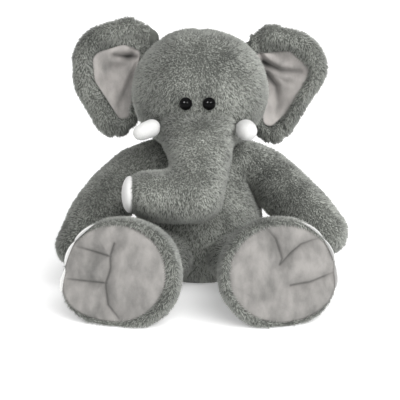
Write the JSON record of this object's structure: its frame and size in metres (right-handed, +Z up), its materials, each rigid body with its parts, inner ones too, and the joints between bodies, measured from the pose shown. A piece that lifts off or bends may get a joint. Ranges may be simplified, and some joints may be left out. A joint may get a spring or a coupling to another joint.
{
  "type": "stuffed elephant",
  "caption": "Sitting stuffed elephant in short grey plush, with padded satin-lined ears, a curled trunk, small felt tusks and big feet with satin soles.",
  "frame": {"origin": "centre of the flat seat under the torso, on the surface that the toy sits on", "axes": "+Z up, +X to the side of the toy's own left hand, -Y the way the face and the soles look"},
  "size_m": [0.288, 0.2897, 0.252],
  "materials": {
    "grey_plush": "short dense polyester pile",
    "pale_satin": "soft satin with a low sheen",
    "white_felt": "smooth brushed felt",
    "glossy_black_eyes": "polished",
    "clear_plastic_washers": "moulded",
    "fibre_stuffing": "loose polyester fibre",
    "pellet_bag_cotton": "plain woven cotton"
  },
  "bodies": {
    "torso": {"torso_cover": "grey_plush", "torso_stuffing": "fibre_stuffing", "pellet_bag": "pellet_bag_cotton", "seat_panel": "grey_plush"},
    "neck": {"neck_stuffing": "fibre_stuffing"},
    "head": {"head_cover": "grey_plush", "head_stuffing": "fibre_stuffing", "left_eye": "glossy_black_eyes", "right_eye": "glossy_black_eyes", "left_eye_washer": "clear_plastic_washers", "right_eye_washer": "clear_plastic_washers", "left_tusk_cover": "white_felt", "right_tusk_cover": "white_felt", "left_tusk_stuffing": "fibre_stuffing", "right_tusk_stuffing": "fibre_stuffing"},
    "left_ear": {"left_ear_back": "grey_plush", "left_ear_lining": "pale_satin", "left_ear_padding": "fibre_stuffing"},
    "right_ear": {"right_ear_back": "grey_plush", "right_ear_lining": "pale_satin", "right_ear_padding": "fibre_stuffing"},
    "trunk": {"trunk_root_cover": "grey_plush", "trunk_root_stuffing": "fibre_stuffing"},
    "trunk_end": {"trunk_end_cover": "grey_plush", "trunk_end_stuffing": "fibre_stuffing", "trunk_end_disc": "white_felt"},
    "left_arm": {"left_arm_cover": "grey_plush", "left_arm_stuffing": "fibre_stuffing"},
    "right_arm": {"right_arm_cover": "grey_plush", "right_arm_stuffing": "fibre_stuffing"},
    "left_leg": {"left_leg_cover": "grey_plush", "left_leg_stuffing": "fibre_stuffing"},
    "right_leg": {"right_leg_cover": "grey_plush", "right_leg_stuffing": "fibre_stuffing"},
    "left_foot": {"left_foot_cover": "grey_plush", "left_foot_stuffing": "fibre_stuffing", "left_sole_panel": "pale_satin", "left_toenails": "white_felt"},
    "right_foot": {"right_foot_cover": "grey_plush", "right_foot_stuffing": "fibre_stuffing", "right_sole_panel": "pale_satin", "right_toenails": "white_felt"},
    "tail": {"tail_cover": "grey_plush", "tail_tuft": "grey_plush"}
  },
  "joints": [
    {"name": "neck_turn", "type": "hinge", "parent": "torso", "child": "neck", "pos_m": [0, 0, 0.105], "axis": [0, 0, 1], "range_deg": [-20, 20]},
    {"name": "neck_nod", "type": "hinge", "parent": "neck", "child": "head", "pos_m": [0, 0, 0.105], "axis": [1, 0, 0], "range_deg": [-15, 0]},
    {"name": "left_ear_flap", "type": "hinge", "parent": "head", "child": "left_ear", "pos_m": [-0.067, 0.015, 0.193], "axis": [0.225, 0, 0.9744], "range_deg": [-20, 25]},
    {"name": "right_ear_flap", "type": "hinge", "parent": "head", "child": "right_ear", "pos_m": [0.067, 0.015, 0.193], "axis": [0.225, 0, -0.9744], "range_deg": [-20, 25]},
    {"name": "trunk_lift", "type": "hinge", "parent": "head", "child": "trunk", "pos_m": [0, -0.064, 0.147], "axis": [-1, 0, 0], "range_deg": [0, 30]},
    {"name": "trunk_curl", "type": "hinge", "parent": "trunk", "child": "trunk_end", "pos_m": [-0.003, -0.095, 0.107], "axis": [0, 1, 0], "range_deg": [0, 15]},
    {"name": "left_shoulder", "type": "hinge", "parent": "torso", "child": "left_arm", "pos_m": [-0.069, 0, 0.112], "axis": [-1, 0, 0], "range_deg": [-20, 45]},
    {"name": "right_shoulder", "type": "hinge", "parent": "torso", "child": "right_arm", "pos_m": [0.069, 0, 0.112], "axis": [-1, 0, 0], "range_deg": [-20, 45]},
    {"name": "left_hip", "type": "hinge", "parent": "torso", "child": "left_leg", "pos_m": [-0.04, -0.067, 0.033], "axis": [0, 0, -1], "range_deg": [-6, 12]},
    {"name": "right_hip", "type": "hinge", "parent": "torso", "child": "right_leg", "pos_m": [0.04, -0.067, 0.033], "axis": [0, 0, 1], "range_deg": [-6, 12]},
    {"name": "left_ankle", "type": "hinge", "parent": "left_leg", "child": "left_foot", "pos_m": [-0.06334, -0.10349, 0.03498], "axis": [0, 0, -1], "range_deg": [-4, 12]},
    {"name": "right_ankle", "type": "hinge", "parent": "right_leg", "child": "right_foot", "pos_m": [0.06334, -0.10349, 0.03498], "axis": [0, 0, 1], "range_deg": [-4, 12]},
    {"name": "tail_swing", "type": "hinge", "parent": "torso", "child": "tail", "pos_m": [0, 0.063, 0.034], "axis": [0, 0, 1], "range_deg": [-30, 30]}
  ]
}
